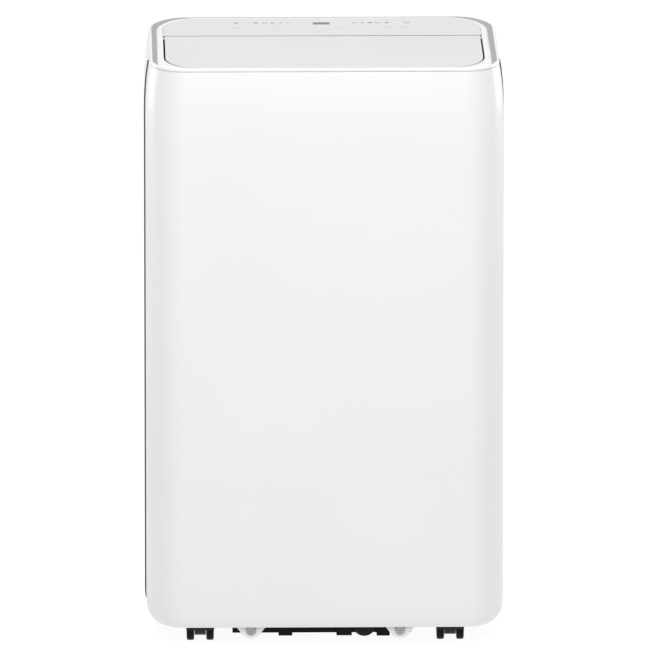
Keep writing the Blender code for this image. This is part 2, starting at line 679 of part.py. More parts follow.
def fan(label, center_z, outlet_top):
    """A volute housing, the wheel on its shaft, and the motor in front of it."""
    front, rear = FAN_Y[0] - 0.010, FAN_Y[1] + 0.018
    middle, length = (front + rear) / 2, rear - front
    wall, radius = 0.0025, FAN_RADIUS + 0.014
    name = f"{label}_fan_housing"
    housing = rod(name, (0.0, middle, center_z), radius, length, "inner_plastic", "Y", 36)
    join(housing, box_mesh((-radius, front, center_z), (0.030, rear, outlet_top)), "outlet")
    inside = rod_mesh((0.0, middle, center_z), radius - wall, length - 2 * wall, "Y", 36)
    cut(housing, inside, "scroll_space")
    low = (-radius + wall, front + wall, center_z)
    cut(housing, box_mesh(low, (0.030 - wall, rear - wall, outlet_top + 0.010)), "outlet_space")
    cut(housing, rod_mesh((0.0, rear, center_z), FAN_RADIUS - 0.012, 0.020, "Y", 32), "inlet")
    cut(housing, rod_mesh((0.0, front, center_z), 0.0120, 0.020, "Y", 20), "shaft_hole")

    axis = pivot(f"{label}_fan_axis", (0.0, 0.0, center_z))
    low_y, high_y = FAN_Y
    wheel = rod(
        f"{label}_fan_wheel", (0.0, low_y + 0.001, 0.0), FAN_RADIUS, 0.002, "black_plastic", "Y", 24, parent=axis
    )
    blades = bmesh.new()
    count = 12
    for k in range(count):
        turn = Matrix.Rotation(2 * math.pi * k / count, 4, "Y") @ Matrix.Translation((FAN_RADIUS - 0.009, 0, 0))
        turn = turn @ Matrix.Rotation(math.radians(25), 4, "Y")
        blade = box_mesh((-0.0070, low_y + 0.001, -0.0009), (0.0070, high_y - 0.001, 0.0009))
        bmesh.ops.transform(blade, matrix=turn, verts=blade.verts)
        mesh = bpy.data.meshes.new("blade")
        blade.to_mesh(mesh)
        blade.free()
        blades.from_mesh(mesh)
        bpy.data.meshes.remove(mesh)
    outer, inner = FAN_RADIUS, FAN_RADIUS - 0.016
    band = ((outer, high_y - 0.003), (outer, high_y), (inner, high_y), (inner, high_y - 0.003))
    tools = {
        "blades": add(f"{label}_fan_wheel_blades", blades, None, axis),
        "hub": add(
            f"{label}_fan_wheel_hub", rod_mesh((0, low_y + 0.011, 0), 0.012, 0.024, "Y", 16), None, axis
        ),
        "shaft": add(
            f"{label}_fan_wheel_shaft", rod_mesh((0, low_y - 0.011, 0), 0.004, 0.034, "Y", 12), None, axis
        ),
        "band": turned(f"{label}_fan_wheel_band", (0, 0, 0), "Y", band, None, 24, axis),
    }
    for tool in tools.values():
        combine(wheel, tool, "UNION")
    motor_y = front - 0.028
    motor = rod(f"{label}_fan_motor", (0.0, motor_y, center_z), 0.036, 0.050, "steel", "Y", 24)
    bevel(motor, 0.004)
    cut(motor, rod_mesh((0.0, front, center_z), 0.0050, 0.040, "Y", 12), "shaft_bore")


def coils():
    """Finned coils, seen through the rear grilles: an aluminium block with shallow fin channels."""
    for name, low_z, high_z in (("evaporator_coil", 0.500, 0.690), ("condenser_coil", 0.062, 0.290)):
        coil = box(name, (-0.150, COIL_Y[0], low_z), (0.150, COIL_Y[1], high_z), "aluminium_fin")
        bm = bmesh.new()
        count = 11
        for k in range(count):
            x = -0.135 + 0.270 * k / (count - 1)
            box_mesh((x - 0.009, COIL_Y[1] - 0.002, low_z + 0.006), (x + 0.009, COIL_Y[1] + 0.01, high_z - 0.006), bm)
        cut(coil, bm, "fin_channels")


def compressor_set():
    x, y = COMPRESSOR
    dome = [(0.050 * math.cos(a), 0.222 + 0.028 * math.sin(a)) for a in (0.0, 0.5, 1.0, 1.35)]
    profile = [(0.0, 0.0300), (0.058, 0.0300), (0.058, 0.0335), (0.050, 0.0335)]
    profile += dome + [(0.0, dome[-1][1])]
    turned("compressor", (x, y, 0.0), "Z", profile, "black_paint", 28)
    for k in range(3):
        angle = math.radians(90 + 120 * k)
        place = (x + 0.044 * math.cos(angle), y + 0.044 * math.sin(angle), 0.0227)
        rod(f"compressor_mount_{k + 1}", place, 0.009, 0.0138, "rubber", "Z", 14)
    accumulator = rod("accumulator", (0.028, y, 0.175), 0.022, 0.130, "black_paint", "Z", 20)
    bevel(accumulator, 0.006, 2)
    tube(
        "suction_pipe",
        (
            (0.028, y, 0.2410), (0.028, y, 0.275), (0.070, -0.075, 0.315), (0.150, -0.030, 0.340),
            (0.202, 0.020, 0.380), (0.206, 0.080, 0.460), (0.190, 0.122, 0.520), (0.1509, 0.130, 0.530),
        ),
        0.0048, "copper",
    )
    tube(
        "discharge_pipe",
        (
            (x, y, 0.2503), (x, y, 0.285), (-0.110, -0.060, 0.315), (-0.165, 0.000, 0.318),
            (-0.192, 0.070, 0.300), (-0.180, 0.122, 0.272), (-0.1509, 0.132, 0.268),
        ),
        0.0040, "copper",
    )
    tube(
        "capillary_tube",
        (
            (-0.1509, 0.132, 0.100), (-0.185, 0.132, 0.112), (-0.206, 0.118, 0.170), (-0.208, 0.112, 0.300),
            (-0.208, 0.112, 0.430), (-0.195, 0.124, 0.505), (-0.1509, 0.132, 0.522),
        ),
        0.0026, "copper",
    )


def inner_parts():
    tray = box("drain_tray", (-0.185, -0.150, 0.4770), (0.185, 0.165, 0.4990), "inner_plastic")
    cut(tray, box_mesh((-0.182, -0.147, 0.4800), (0.182, 0.162, 0.5100)), "basin")
    case = box("electric_box", (0.062, -0.165, 0.075), (0.190, -0.060, 0.250), "steel")
    bevel(case, 0.003)
    low, high = (0.064, -0.163, 0.077), (0.188, -0.064, 0.248)
    cut(case, box_mesh(low, high), "hollow")
    cut(case, rod_mesh((0.150, -0.062, 0.160), 0.010, 0.020, "Y", 16), "cable_hole")
    axis = pivot("splash_axis", (0.055, 0.0, 0.045))
    wheel = rod("splash_wheel", (0.0, -0.030, 0.0), 0.0240, 0.0050, "black_plastic", "Y", 20, parent=axis)
    notches = bmesh.new()
    for k in range(8):
        angle = 2 * math.pi * k / 8
        rod_mesh((0.0240 * math.cos(angle), -0.030, 0.0240 * math.sin(angle)), 0.0040, 0.020, "Y", 8, bm=notches)
    tool = add("splash_wheel_notches", notches, None, axis)
    combine(wheel, tool, "DIFFERENCE")
    combine(wheel, add("splash_wheel_shaft", rod_mesh((0, -0.040, 0), 0.0025, 0.020, "Y", 10), None, axis), "UNION")
    motor = rod("splash_motor", (0.055, -0.062, 0.045), 0.0170, 0.036, "steel", "Y", 20)
    cut(motor, rod_mesh((0.055, -0.044, 0.045), 0.0032, 0.024, "Y", 10), "shaft_bore")


def rear_fittings():
    gland = (
        (0.0, 0.1900), (0.0130, 0.1900), (0.0130, 0.1950), (0.0090, 0.1950),
        (0.0090, 0.1984), (0.0040, 0.1984), (0.0040, 0.1930), (0.0, 0.1930),
    )
    turned("cord_gland", (GLAND_X, 0.0, GLAND_Z), "Y", gland, "black_plastic", 20)
    plug = (
        (0.0, 0.1900), (0.0130, 0.1900), (0.0130, 0.1950), (0.0100, 0.1950), (0.0100, 0.1982), (0.0, 0.1982),
    )
    turned("rear_drain_plug", (DRAIN_X, 0.0, DRAIN_Z), "Y", plug, "rubber", 20)
    for z, label in ((HOOK_Z[0], "lower"), (HOOK_Z[1], "upper")):
        low, high = (HOOK_X - 0.0116, 0.1800, z - 0.0086), (HOOK_X + 0.0116, 0.1982, z + 0.0086)
        hook = box(f"cord_hook_{label}", low, high, "white_plastic")
        low, high = (HOOK_X - 0.0096, 0.1820, z - 0.0066), (HOOK_X + 0.0096, 0.2100, z + 0.0066)
        cut(hook, box_mesh(low, high), "pocket")
        side = 1 if label == "upper" else -1
        near, far = sorted((z - side * 0.0070, z - side * 0.0020))
        join(hook, box_mesh((HOOK_X - 0.004, 0.1960, near), (HOOK_X + 0.004, 0.1982, far)), "tongue")


def main():
    clear_scene()
    front_panel()
    rear_cabinet()
    top_cover()
    control_panel()
    louver_flap()
    outlet()
    base_pan()
    casters()
    intakes()
    handles()
    exhaust()
    fan("evaporator", UPPER_FAN_Z, 0.7000)
    fan("condenser", LOWER_FAN_Z, 0.3000)
    coils()
    compressor_set()
    inner_parts()
    rear_fittings()


main()
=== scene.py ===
"""Looks of the portable air conditioner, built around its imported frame. Metres, +Z up, front at -Y."""

import json
import math

import bmesh
import bpy
from mathutils import Matrix, Vector


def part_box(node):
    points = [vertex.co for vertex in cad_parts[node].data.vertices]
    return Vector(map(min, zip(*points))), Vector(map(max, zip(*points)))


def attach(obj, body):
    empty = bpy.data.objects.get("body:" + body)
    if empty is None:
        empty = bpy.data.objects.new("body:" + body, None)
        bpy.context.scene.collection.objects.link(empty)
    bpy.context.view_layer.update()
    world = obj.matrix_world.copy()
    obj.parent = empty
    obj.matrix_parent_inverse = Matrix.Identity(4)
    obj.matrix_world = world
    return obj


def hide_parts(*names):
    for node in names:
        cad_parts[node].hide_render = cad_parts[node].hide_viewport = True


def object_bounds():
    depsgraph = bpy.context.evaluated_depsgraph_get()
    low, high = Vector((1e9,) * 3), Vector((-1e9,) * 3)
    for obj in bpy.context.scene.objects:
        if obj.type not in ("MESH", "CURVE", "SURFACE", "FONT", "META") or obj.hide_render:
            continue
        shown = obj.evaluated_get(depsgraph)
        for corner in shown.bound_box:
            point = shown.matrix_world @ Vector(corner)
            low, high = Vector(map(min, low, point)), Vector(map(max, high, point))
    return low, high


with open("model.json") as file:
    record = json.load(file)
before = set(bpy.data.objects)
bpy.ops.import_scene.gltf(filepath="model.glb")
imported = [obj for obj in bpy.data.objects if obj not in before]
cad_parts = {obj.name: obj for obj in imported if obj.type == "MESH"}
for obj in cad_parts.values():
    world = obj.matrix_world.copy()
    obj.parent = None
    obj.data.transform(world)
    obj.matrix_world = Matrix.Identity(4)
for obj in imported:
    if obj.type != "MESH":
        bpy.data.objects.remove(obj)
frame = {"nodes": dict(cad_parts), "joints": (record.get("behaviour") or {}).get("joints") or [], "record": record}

cad_low, cad_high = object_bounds()

# Sizes read from the frame
WIDTH = cad_high.x - cad_low.x
DEPTH = cad_high.y - cad_low.y
HEIGHT = cad_high.z
SKIRT_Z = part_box("rear_cabinet")[0].z
SHELL_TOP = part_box("rear_cabinet")[1].z
SEAM_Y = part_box("rear_cabinet")[0].y
HINGE = Vector(next(j["pos_m"] for j in frame["joints"] if j["name"] == "flap_hinge"))
FLOOR_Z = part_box("control_panel")[1].z

# The cabinet's wall, its plan corners (along x, along y), and how it leans in near the top
WALL = 0.0025
FRONT_CORNER = (0.050, 0.075)
REAR_CORNER = (0.058, 0.095)
SIDE_LEAN = (0.085, 2.5, 0.0075)
FRONT_LEAN = (0.120, 2.0, 0.0130)
REAR_LEAN = (0.085, 2.5, 0.0080)
FOOT_HEIGHT, FOOT_INSET = 0.026, 0.010
SEAM_STEP = 0.0010
CORNER_STEPS = 14

# The opening in the top cover, and the flap in it
OPEN_HALF = 0.2085
OPEN_FRONT, OPEN_REAR = -0.1655, 0.1805
OPEN_FRONT_CORNER = (0.046, 0.075)
OPEN_REAR_CORNER = (0.045, 0.075)
RIM_DROP = 0.0025
FLAP_HALF = 0.2062
BARREL = 0.0035

# How far the dark seam strip (painted shadow in the seam) stands out of the side walls, and how thick printed marks are
SHADE_STRIP_PROUD = 0.0009
PRINT = 0.00008

# Floor glow as other rays and as the camera see it, and strength of the surround
FLOOR_GLOW, FLOOR_SEEN = 0.80, 0.95
SURROUND = 0.45

# Camera: degrees round from straight ahead (minus is to the left), degrees above level, distance,
# target, focal length in mm
AZIMUTH, ELEVATION, DISTANCE = -1.0, 11.9, 20.0
AIM = (0.0025, 0.0, 0.3868)
FOCAL_LENGTH = 846.0


# ---------------------------------------------------------------- materials

def new_material(name, color, roughness, metallic=0.0):
    made = bpy.data.materials.new(name)
    made.use_nodes = True
    shader = made.node_tree.nodes["Principled BSDF"]
    shader.inputs["Base Color"].default_value = (*color, 1.0)
    shader.inputs["Roughness"].default_value = roughness
    shader.inputs["Metallic"].default_value = metallic
    return made, made.node_tree, shader


def add_node(tree, kind, links=(), **values):
    """Adds a shader node, sets its inputs by name and links (socket name, output) pairs into it."""
    node = tree.nodes.new(kind)
    for key, value in values.items():
        if hasattr(node, key):
            setattr(node, key, value)
        else:
            node.inputs[key.replace("_", " ")].default_value = value
    for socket, output in links:
        tree.links.new(output, node.inputs[socket])
    return node


def tinted(tree, shader, place, color, spread, scale):
    """Varies the base color a little over the surface."""
    noise = add_node(tree, "ShaderNodeTexNoise", [("Vector", place)], Scale=scale, Detail=4.0)
    ramp = add_node(tree, "ShaderNodeValToRGB", [("Fac", noise.outputs["Fac"])])
    low, high = ramp.color_ramp.elements
    low.position, high.position = 0.3, 0.7
    low.color = (*[c * (1.0 - spread) for c in color], 1.0)
    high.color = (*[min(c * (1.0 + spread), 1.0) for c in color], 1.0)
    tree.links.new(ramp.outputs["Color"], shader.inputs["Base Color"])


def varied_roughness(tree, shader, place, low, high, scale):
    noise = add_node(tree, "ShaderNodeTexNoise", [("Vector", place)], Scale=scale, Detail=3.0)
    spread = add_node(tree, "ShaderNodeMapRange", [("Value", noise.outputs["Fac"])])
    spread.inputs["To Min"].default_value = low
    spread.inputs["To Max"].default_value = high
    tree.links.new(spread.outputs["Result"], shader.inputs["Roughness"])


def bump(tree, shader, height, distance, strength=1.0):
    node = add_node(tree, "ShaderNodeBump", [("Height", height)], Strength=strength, Distance=distance)
    tree.links.new(node.outputs["Normal"], shader.inputs["Normal"])
    return node


def moulded(name, color, roughness, grain=0.0006, depth=0.00002, spread=0.012, coat=0.0, gloss=0.5):
    """Moulded plastic: fine texture from the tool, faint cloudiness in color and gloss."""
    made, tree, shader = new_material(name, color, roughness)
    place = add_node(tree, "ShaderNodeTexCoord").outputs["Object"]
    tinted(tree, shader, place, color, spread, 6.0)
    varied_roughness(tree, shader, place, roughness - 0.03, roughness + 0.03, 25.0)
    fine = add_node(tree, "ShaderNodeTexNoise", [("Vector", place)], Scale=1.0 / grain, Detail=2.0)
    bump(tree, shader, fine.outputs["Fac"], depth, 0.5)
    shader.inputs["Specular IOR Level"].default_value = gloss
    shader.inputs["Coat Weight"].default_value = coat
    shader.inputs["Coat Roughness"].default_value = 0.15
    return made


def drawn_metal(name, color, roughness, stretch, depth=0.00001):
    """Metal with fine lines along one direction, as drawing, rolling or brushing leaves it."""
    made, tree, shader = new_material(name, color, roughness, 1.0)
    place = add_node(tree, "ShaderNodeTexCoord").outputs["Object"]
    tinted(tree, shader, place, color, 0.05, 14.0)
    mapped = add_node(tree, "ShaderNodeMapping", [("Vector", place)], Scale=stretch)
    lines = add_node(tree, "ShaderNodeTexNoise", [("Vector", mapped.outputs["Vector"])], Scale=1.0, Detail=4.0)
    varied_roughness(tree, shader, mapped.outputs["Vector"], roughness * 0.8, roughness * 1.3, 1.0)
    bump(tree, shader, lines.outputs["Fac"], depth)
    return made


def woven_filter(name, color):
    """A fine square mesh: two crossed waves, raised where the threads are."""
    made, tree, shader = new_material(name, color, 0.6)
    place = add_node(tree, "ShaderNodeTexCoord").outputs["Object"]
    waves = []
    for direction in ("X", "Z"):
        wave = add_node(tree, "ShaderNodeTexWave", [("Vector", place)], Scale=110.0)
        wave.bands_direction = direction
        waves.append(wave.outputs["Fac"])
    top = add_node(tree, "ShaderNodeMath", [(0, waves[0]), (1, waves[1])], operation="MAXIMUM")
    ramp = add_node(tree, "ShaderNodeValToRGB", [("Fac", top.outputs["Value"])])
    low, high = ramp.color_ramp.elements
    low.position, high.position = 0.55, 0.85
    low.color = (*[c * 0.25 for c in color], 1.0)
    high.color = (*color, 1.0)
    tree.links.new(ramp.outputs["Color"], shader.inputs["Base Color"])
    bump(tree, shader, top.outputs["Value"], 0.0003)
    return made


def circuit_board(name):
    made, tree, shader = new_material(name, (0.02, 0.16, 0.06), 0.4)
    place = add_node(tree, "ShaderNodeTexCoord").outputs["Object"]
    brick = add_node(tree, "ShaderNodeTexBrick", [("Vector", place)], Scale=160.0)
    brick.inputs["Color1"].default_value = (0.02, 0.16, 0.06, 1.0)
    brick.inputs["Color2"].default_value = (0.03, 0.22, 0.09, 1.0)
    brick.inputs["Mortar"].default_value = (0.30, 0.26, 0.10, 1.0)
    tree.links.new(brick.outputs["Color"], shader.inputs["Base Color"])
    return made


WHITE = moulded("white_shell_plastic", (0.88, 0.88, 0.88), 0.34, coat=0.15)
# Groove slope colour: its own light grey, darkened further with painted shade for the light the inward slope does not
# get.
GROOVE_GREY_AND_SHADE = moulded("groove_grey_and_painted_shade", (0.36, 0.36, 0.36), 0.45, grain=0.0005, depth=0.00003)
# Dark grey for the control panel's front face in the gap behind the flap: painted shade of that seam.
HINGE_GAP_SHADE = moulded("hinge_gap_painted_shade", (0.24, 0.24, 0.24), 0.6)
PANEL = moulded("light_grey_panel_plastic", (0.69, 0.69, 0.69), 0.42, grain=0.0005, depth=0.00003)
# Near-black for the seam strip: painted shadow of the seam between the front cover and the rear cabinet.
SEAM_SHADOW_DARK = moulded("seam_gasket_rubber", (0.10, 0.10, 0.10), 0.7, spread=0.05)
MARKS = moulded("printed_mark_ink", (0.10, 0.10, 0.105), 0.5, spread=0.03)
FAINT = moulded("faint_mark_ink", (0.36, 0.36, 0.36), 0.5, spread=0.03)
BLACK = moulded("black_moulding", (0.005, 0.005, 0.005), 0.50, grain=0.0009, depth=0.00006, spread=0.10, gloss=0.15)
NYLON = moulded("caster_nylon", (0.006, 0.006, 0.006), 0.50, grain=0.0012, depth=0.00004, spread=0.10, gloss=0.12)
HOOD = moulded("caster_hood_grey", (0.030, 0.030, 0.031), 0.45, grain=0.0012, depth=0.00004, spread=0.08, gloss=0.25)
RUBBER = moulded("moulded_rubber", (0.014, 0.014, 0.014), 0.75, grain=0.0010, depth=0.00008, spread=0.10, gloss=0.25)
INNER = moulded("inner_grey_moulding", (0.45, 0.46, 0.47), 0.52, spread=0.04)
DISPLAY = moulded("smoked_window", (0.055, 0.057, 0.060), 0.12, grain=0.004, depth=0.000002, coat=1.0)
PAINT = moulded("black_satin_paint", (0.015, 0.015, 0.016), 0.32, grain=0.0025, depth=0.00005, spread=0.08)
FILTER = woven_filter("filter_mesh", (0.16, 0.18, 0.20))
FINS = drawn_metal("coil_fin_aluminium", (0.80, 0.81, 0.82), 0.35, (40.0, 40.0, 1500.0))
COPPER = drawn_metal("drawn_copper", (0.78, 0.36, 0.20), 0.26, (900.0, 900.0, 60.0))
SHEET = drawn_metal("zinc_sheet", (0.62, 0.62, 0.63), 0.36, (60.0, 900.0, 60.0))
NICKEL = drawn_metal("nickel_screw", (0.42, 0.42, 0.43), 0.30, (1800.0, 200.0, 1800.0))
BOARD = circuit_board("green_board")

SLOT_LOOKS = {
    "white_shell": WHITE, "top_panel": PANEL, "display": DISPLAY, "circuit_board": BOARD,
    "black_trim": BLACK, "caster_wheel": NYLON, "inner_plastic": INNER, "filter": FILTER,
    "coil": FINS, "copper_pipe": COPPER, "motor_steel": SHEET, "screw_steel": NICKEL,
    "black_paint": PAINT, "rubber": RUBBER,
}


# ---------------------------------------------------------------- mesh helpers

def smooth(mesh, angle=35.0):
    mesh.shade_smooth()
    mesh.set_sharp_from_angle(angle=math.radians(angle))


def raw_object(name, bm, material=None):
    mesh = bpy.data.meshes.new(name)
    bm.to_mesh(mesh)
    bm.free()
    if material:
        mesh.materials.append(material)
    obj = bpy.data.objects.new(name, mesh)
    bpy.context.scene.collection.objects.link(obj)
    return obj


def bake_modifiers(obj):
    """Replaces the mesh with what its modifiers make of it."""
    graph = bpy.context.evaluated_depsgraph_get()
    made = bpy.data.meshes.new_from_object(obj.evaluated_get(graph), depsgraph=graph)
    obj.modifiers.clear()
    obj.data = made
    return obj


def cut(obj, cutters, operation="DIFFERENCE"):
    """Cuts meshes away from the object, or joins them on, and keeps the result."""
    tools = []
    for k, bm in enumerate(cutters):
        tool = raw_object(f"{obj.name}_tool_{k}", bm)
        modifier = obj.modifiers.new(tool.name, "BOOLEAN")
        modifier.object = tool
        modifier.operation = operation
        modifier.solver = "EXACT"
        tools.append(tool)
    bake_modifiers(obj)
    for tool in tools:
        bpy.data.objects.remove(tool)
    return obj


def bevel(obj, width, segments=2, angle=35.0):
    modifier = obj.modifiers.new("rounded_edges", "BEVEL")
    modifier.width = width
    modifier.segments = segments
    modifier.limit_method = "ANGLE"
    modifier.angle_limit = math.radians(angle)
    modifier.use_clamp_overlap = True
    weighted = obj.modifiers.new("face_normals", "WEIGHTED_NORMAL")
    weighted.keep_sharp = True
    return obj


def finish_piece(obj, body, slot, *replaced):
    """Shades a new piece, puts it on its body and hides the CAD nodes that it stands for."""
    smooth(obj.data)
    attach(obj, body)
    if replaced:
        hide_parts(*replaced)
    return obj


def box_mesh(low, high, bm=None):
    bm = bm or bmesh.new()
    low, high = Vector(low), Vector(high)
    place = Matrix.Translation((low + high) / 2) @ Matrix.Diagonal((*(high - low), 1.0))
    bmesh.ops.create_cube(bm, size=1.0, matrix=place)
    return bm


def turn_to(axis):
    if axis == "X":
        return Matrix.Rotation(math.pi / 2, 4, "Y")
    if axis == "Y":
        return Matrix.Rotation(-math.pi / 2, 4, "X")
    return Matrix.Identity(4)


def rod_mesh(center, radius, length, axis="Z", sides=32, bm=None):
    bm = bm or bmesh.new()
    bmesh.ops.create_cone(
        bm, cap_ends=True, segments=sides, radius1=radius, radius2=radius, depth=length,
        matrix=Matrix.Translation(center) @ turn_to(axis),
    )
    return bm


def loft(rings, wrap_ring, wrap_rows):
    bm = bmesh.new()
    rows = [[bm.verts.new(point) for point in ring] for ring in rings]
    count = len(rings[0])
    for k in range(len(rows) if wrap_rows else len(rows) - 1):
        lower, upper = rows[k], rows[(k + 1) % len(rows)]
        for i in range(count if wrap_ring else count - 1):
            j = (i + 1) % count
            bm.faces.new((lower[i], lower[j], upper[j], upper[i]))
    return bm


def turned(center, axis, profile, sides=48):
    """A turned solid from (radius, along) points, closed at the axis or as a ring."""
    turn = Matrix.Translation(center) @ turn_to(axis)
    rings = []
    for k in range(sides):
        angle = 2 * math.pi * k / sides
        spoke = Vector((math.cos(angle), math.sin(angle), 0.0))
        rings.append([turn @ (spoke * r + Vector((0.0, 0.0, along))) for r, along in profile])
    bm = loft(rings, True, True)
    bmesh.ops.remove_doubles(bm, verts=bm.verts, dist=1e-6)
    bmesh.ops.recalc_face_normals(bm, faces=bm.faces)
    return bm


def prism(outline, low, high, axis="Z"):
    """A closed solid of an outline between two places along an axis, Z or Y."""
    def place(point, along):
        return (point[0], point[1], along) if axis == "Z" else (point[0], along, point[1])

    bm = bmesh.new()
    lower = [bm.verts.new(place(p, low)) for p in outline]
    upper = [bm.verts.new(place(p, high)) for p in outline]
    bm.faces.new(lower)
    bm.faces.new(upper)
    for i in range(len(outline)):
        j = (i + 1) % len(outline)
        bm.faces.new((lower[i], lower[j], upper[j], upper[i]))
    bmesh.ops.recalc_face_normals(bm, faces=bm.faces)
    return bm


# ---------------------------------------------------------------- outlines of the cabinet

def arc(cx, cy, rx, ry, start, sweep=90, steps=CORNER_STEPS):
    points = []
    for k in range(steps + 1):
        angle = math.radians(start + sweep * k / steps)
        points.append((cx + rx * math.cos(angle), cy + ry * math.sin(angle)))
    return points


def front_half(half_width, front, corner, seam_y):
    rx, ry = corner
    left = arc(-half_width + rx, front + ry, rx, ry, 180)
    right = arc(half_width - rx, front + ry, rx, ry, 270)
    middle = [(x * (half_width - rx), front) for x in (-0.5, 0.0, 0.5)]
    return [(-half_width, seam_y)] + left + middle + right + [(half_width, seam_y)]


def rear_half(half_width, rear, corner, seam_y):
    rx, ry = corner
    right = arc(half_width - rx, rear - ry, rx, ry, 0)
    left = arc(-half_width + rx, rear - ry, rx, ry, 90)
    middle = [(x * (half_width - rx), rear) for x in (0.5, 0.0, -0.5)]
    return [(half_width, seam_y)] + right + middle + left + [(-half_width, seam_y)]


def at_height(points, z):
    return [(x, y, z) for x, y in points]


def lean(z, shape):
    reach, power, depth = shape
    down = min(max(HEIGHT - z, 0.0) / reach, 1.0)
    return depth * (1.0 - down) ** power


def insets(z):
    foot = FOOT_INSET * (1.0 - min(max(z - SKIRT_Z, 0.0) / FOOT_HEIGHT, 1.0)) ** 3
    return lean(z, SIDE_LEAN) + foot, lean(z, FRONT_LEAN) + foot, lean(z, REAR_LEAN) + foot


def shell_front(z, extra=0.0, seam_y=SEAM_Y, step=0.0):
    """The front half of the wall at a height. A step makes only the sides stand in."""
    side, front, _ = insets(z)
    corner = (FRONT_CORNER[0] - side - extra, FRONT_CORNER[1] - front - extra)
    return front_half(WIDTH / 2 - side - extra - step, -DEPTH / 2 + front + extra, corner, seam_y)


def shell_rear(z, extra=0.0, seam_y=SEAM_Y, step=0.0):
    side, _, rear = insets(z)
    corner = (REAR_CORNER[0] - side - extra, REAR_CORNER[1] - rear - extra)
    return rear_half(WIDTH / 2 - side - extra - step, DEPTH / 2 - rear - extra, corner, seam_y)


def shell_outline(z, extra=0.0):
    return shell_front(z, extra, SEAM_Y - 0.001) + shell_rear(z, extra)


def opening_outline(margin=0.0):
    rx, ry = OPEN_FRONT_CORNER
    front = front_half(OPEN_HALF - margin, OPEN_FRONT + margin, (rx - margin, ry - margin), SEAM_Y - 0.001)
    rx, ry = OPEN_REAR_CORNER
    rear = rear_half(OPEN_HALF - margin, OPEN_REAR - margin, (rx - margin, ry - margin), SEAM_Y)
    return front + rear


def wall_heights():
    """Heights of the wall's rings: close together where the foot and the shoulder curve."""
    foot = [SKIRT_Z + FOOT_HEIGHT * (k / 9) ** 1.4 for k in range(10)]
    reach = FRONT_LEAN[0]
    shoulder = [SHELL_TOP - (reach - (HEIGHT - SHELL_TOP)) * (1.0 - k / 14) for k in range(15)]
    straight = [foot[-1] + (shoulder[0] - foot[-1]) * k / 5 for k in range(1, 5)]
    return foot + straight + shoulder


# ---------------------------------------------------------------- cabinet shells

def thicken(obj):
    solid = obj.modifiers.new("wall", "SOLIDIFY")
    solid.thickness = WALL
    solid.offset = -1.0
    solid.use_even_offset = True
    return bake_modifiers(obj)


def front_shell():
    heights = wall_heights()
    rings = [at_height(shell_front(z, 0.0, SEAM_Y - 0.0002, SEAM_STEP), z) for z in heights]
    panel = thicken(raw_object("front_cover", loft(rings, False, False), WHITE))
    bevel(panel, 0.0006)
    finish_piece(panel, "root", "white_shell", "front_panel")


def tab_outline(center_x):
    """Under the skirt: 45 degree shoulders that run into a round bottom."""
    radius, shoulder, center_z, top = 0.0155, 0.024, 0.0240, 0.0300
    points = [(center_x + shoulder, top)]
    points += arc(center_x, center_z, radius, radius, -25, -130, 20)
    return points + [(center_x - shoulder, top)]


def tabs():
    """The front cover's two fixing tabs, each with a shallow round recess and a hole for its screw."""
    for side, label in ((-1, "left"), (1, "right")):
        low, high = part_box(f"front_screw_{label}")
        center = (low + high) / 2
        face_y, back_y = -0.1830, -0.1795
        tab = raw_object(f"front_tab_{label}", prism(tab_outline(side * 0.097), face_y, back_y, "Y"), WHITE)
        cut(tab, [rod_mesh((center.x, face_y, center.z), 0.0070, 0.0012, "Y", 40)])
        cut(tab, [rod_mesh((center.x, back_y, center.z), 0.0027, 0.0100, "Y", 24)])
        bevel(tab, 0.0006)
        finish_piece(tab, "root", "white_shell", "front_panel")
        screw_head(center, label)


def screw_head(center, label):
    low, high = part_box(f"front_screw_{label}")
    front, radius, length = low.y, (high.x - low.x) / 2, high.y - low.y
    profile = (
        (0.0, length), (0.0019, length - 0.0006), (0.0022, length - 0.002), (0.0022, 0.0022),
        (radius, 0.0022), (radius, 0.0011), (radius * 0.93, 0.0005), (radius * 0.75, 0.0001),
        (radius * 0.4, 0.0), (0.0, 0.0),
    )
    screw = raw_object(f"cross_screw_{label}", turned((center.x, front, center.z), "Y", profile[::-1]), NICKEL)
    arms = ((0.0036, 0.0008), (0.0008, 0.0036))
    tools = [
        box_mesh((center.x - dx, front - 0.001, center.z - dz), (center.x + dx, front + 0.0013, center.z + dz))
        for dx, dz in arms
    ]
    cut(screw, tools)
    bevel(screw, 0.0002, 1)
    finish_piece(screw, "root", "screw_steel", f"front_screw_{label}")


def seam_shadow_strip():
    """A dark strip in the seam between the front cover and the rear cabinet: painted shadow, standing in for the shade
    in the seam.
    """
    heights = wall_heights()[4:-1]
    for side, label in ((-1, "left"), (1, "right")):
        rings = []
        for z in heights:
            half = WIDTH / 2 - insets(z)[0]
            outer, inner = side * (half + SHADE_STRIP_PROUD), side * (half - WALL)
            front, rear = SEAM_Y - 0.0001, SEAM_Y + 0.0009
            rings.append([(outer, front, z), (outer, rear, z), (inner, rear, z), (inner, front, z)])
        bm = loft(rings, True, False)
        bm.verts.ensure_lookup_table()
        bm.faces.new([bm.verts[k] for k in range(4)])
        bm.faces.new([bm.verts[len(bm.verts) - 4 + k] for k in range(4)])
        bmesh.ops.recalc_face_normals(bm, faces=bm.faces)
        finish_piece(raw_object(f"seam_gasket_{label}", bm, SEAM_SHADOW_DARK), "root", "rubber")


